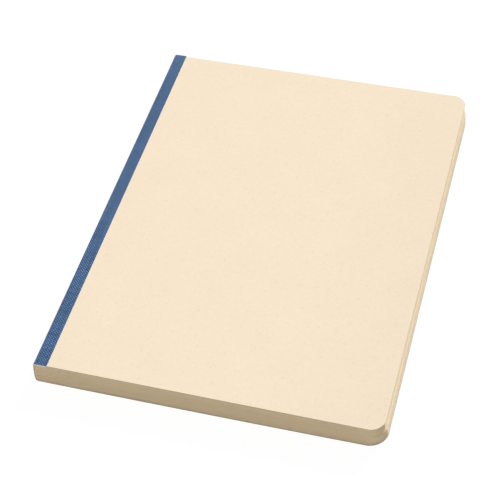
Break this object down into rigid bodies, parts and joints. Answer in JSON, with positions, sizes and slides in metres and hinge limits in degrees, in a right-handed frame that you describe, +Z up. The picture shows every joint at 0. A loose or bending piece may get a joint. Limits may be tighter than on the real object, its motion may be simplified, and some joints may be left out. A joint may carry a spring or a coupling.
{
  "type": "softcover notebook",
  "caption": "Closed softcover notebook: natural card covers, sewn sections of recycled paper, blue cloth tape round the spine and rounded fore-edge corners.",
  "frame": {"origin": "middle of the notebook's footprint, on the surface that it lies on", "axes": "+X from the spine to the fore edge, +Y from the tail to the head, +Z up through the front cover"},
  "size_m": [0.1574, 0.21, 0.0126],
  "materials": {
    "card": "uncoated natural recycled card, 0.45 mm, with fine flecks and fibres",
    "paper": "uncoated natural recycled paper, 85 to 90 gsm, cut edges tan",
    "cloth": "matt blue woven book cloth",
    "lining": "unbleached mull set in glue",
    "thread": "unbleached cotton sewing thread"
  },
  "bodies": {
    "front_cover": {"front_cover": "card", "tape_front_strip": "cloth"},
    "front_flyleaf": {"front_flyleaf": "paper"},
    "sections_1_2": {"section_1_sheet_1": "paper", "section_1_sheet_2": "paper", "section_1_sheet_3": "paper", "section_1_sheet_4": "paper", "section_1_sheet_5": "paper", "section_2_sheet_1": "paper", "section_2_sheet_2": "paper", "section_2_sheet_3": "paper", "section_2_sheet_4": "paper", "section_2_sheet_5": "paper", "sewing_thread_1": "thread", "spine_lining_1": "lining", "spine_tape_1": "cloth"},
    "sections_3_4": {"section_3_sheet_1": "paper", "section_3_sheet_2": "paper", "section_3_sheet_3": "paper", "section_3_sheet_4": "paper", "section_3_sheet_5": "paper", "section_4_sheet_1": "paper", "section_4_sheet_2": "paper", "section_4_sheet_3": "paper", "section_4_sheet_4": "paper", "section_4_sheet_5": "paper", "sewing_thread_2": "thread", "spine_lining_2": "lining", "spine_tape_2": "cloth"},
    "sections_5_6": {"section_5_sheet_1": "paper", "section_5_sheet_2": "paper", "section_5_sheet_3": "paper", "section_5_sheet_4": "paper", "section_5_sheet_5": "paper", "section_6_sheet_1": "paper", "section_6_sheet_2": "paper", "section_6_sheet_3": "paper", "section_6_sheet_4": "paper", "section_6_sheet_5": "paper", "sewing_thread_3": "thread", "spine_lining_3": "lining", "spine_tape_3": "cloth"},
    "sections_7_8": {"section_7_sheet_1": "paper", "section_7_sheet_2": "paper", "section_7_sheet_3": "paper", "section_7_sheet_4": "paper", "section_7_sheet_5": "paper", "section_8_sheet_1": "paper", "section_8_sheet_2": "paper", "section_8_sheet_3": "paper", "section_8_sheet_4": "paper", "section_8_sheet_5": "paper", "sewing_thread_4": "thread", "spine_lining_4": "lining", "spine_tape_4": "cloth", "back_flyleaf": "paper"},
    "back_cover": {"back_cover": "card", "tape_back_strip": "cloth"}
  },
  "joints": [
    {"name": "front_cover_hinge", "type": "hinge", "parent": "sections_1_2", "child": "front_cover", "pos_m": [-0.07785, 0, 0.01217], "axis": [0, -1, 0], "range_deg": [0, 179.9]},
    {"name": "front_flyleaf_turn", "type": "hinge", "parent": "sections_1_2", "child": "front_flyleaf", "pos_m": [-0.07785, 0, 0.01217], "axis": [0, -1, 0], "range_deg": [0, 175]},
    {"name": "front_sections_fan", "type": "hinge", "parent": "sections_3_4", "child": "sections_1_2", "pos_m": [-0.07842, 0, 0.00918], "axis": [0, 1, 0], "range_deg": [-4, 0]},
    {"name": "middle_opening", "type": "hinge", "parent": "sections_5_6", "child": "sections_3_4", "pos_m": [-0.07864, 0, 0.00632], "axis": [0, 1, 0], "range_deg": [-172, 0]},
    {"name": "back_sections_fan", "type": "hinge", "parent": "sections_7_8", "child": "sections_5_6", "pos_m": [-0.07874, 0, 0.00346], "axis": [0, 1, 0], "range_deg": [-4, 0]},
    {"name": "back_cover_hinge", "type": "hinge", "parent": "sections_7_8", "child": "back_cover", "pos_m": [-0.07824, 0, 0.00047], "axis": [0, 1, 0], "range_deg": [0, 179.9]}
  ],
  "couplings": [
    {"joint": "front_flyleaf_turn", "follows": "front_cover_hinge", "ratio": 0.97}
  ]
}
